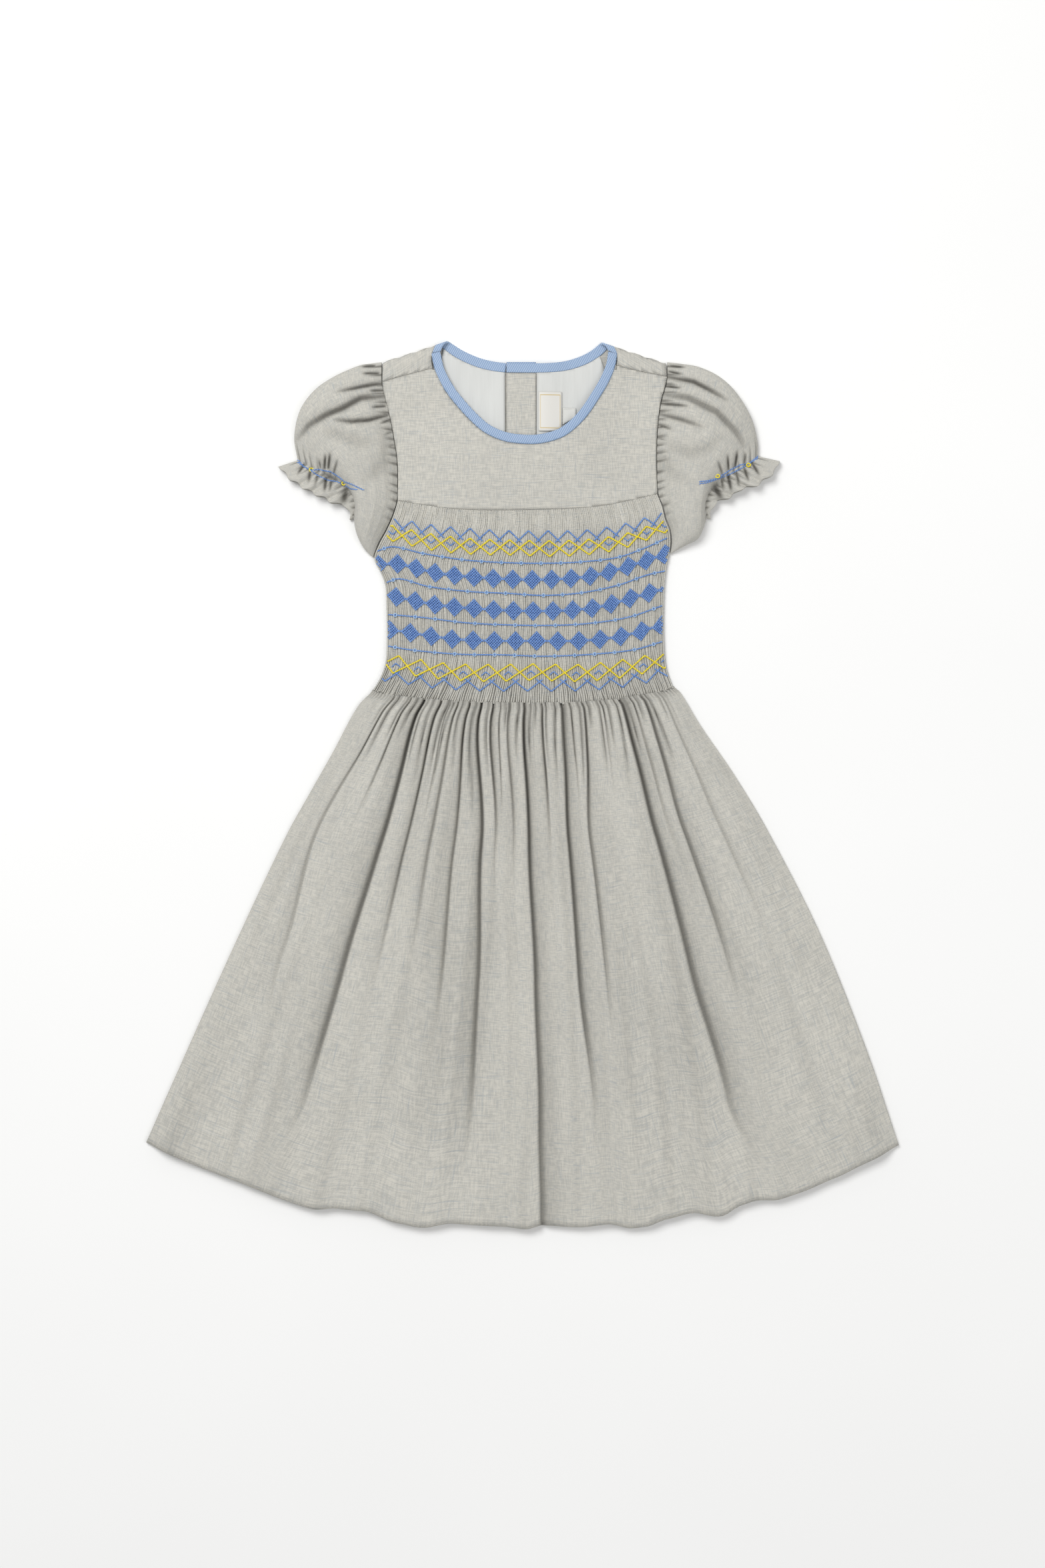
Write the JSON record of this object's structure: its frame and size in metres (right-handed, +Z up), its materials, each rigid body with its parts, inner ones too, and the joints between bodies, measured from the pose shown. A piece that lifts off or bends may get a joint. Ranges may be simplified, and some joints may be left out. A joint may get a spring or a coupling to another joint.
{
  "type": "smocked dress",
  "caption": "Child's dress laid flat, with a smocked front, puff sleeves with ruffled cuffs, a bound neck and a gathered skirt that widens to a curved hem.",
  "frame": {"origin": "On the surface that the dress lies on, below the middle of its box.", "axes": "+X to the right as seen from the front, +Y from hem to neck, +Z up off the surface, out of the dress's front."},
  "size_m": [0.564, 0.6644, 0.0204],
  "materials": {
    "wool_cloth": "matt, heathered",
    "white_lining": "smooth, matt",
    "blue_twill_tape": "twill, matt",
    "woven_label": "woven satin",
    "grey_button": "polished"
  },
  "bodies": {
    "root": {"back_left": "wool_cloth", "back_lining_left": "white_lining", "back_lining_right": "white_lining", "back_right": "wool_cloth", "button_1": "grey_button", "button_2": "grey_button", "button_3": "grey_button", "button_4": "grey_button", "care_tab": "woven_label", "front_yoke": "wool_cloth", "neck_binding_back_left": "blue_twill_tape", "neck_binding_back_right": "blue_twill_tape", "neck_binding_end": "blue_twill_tape", "neck_binding_front": "blue_twill_tape", "opening_facing": "wool_cloth", "skirt_back": "wool_cloth", "skirt_front": "wool_cloth", "sleeve_left": "wool_cloth", "sleeve_right": "wool_cloth", "smocked_front": "wool_cloth", "woven_label": "woven_label"}
  },
  "joints": []
}
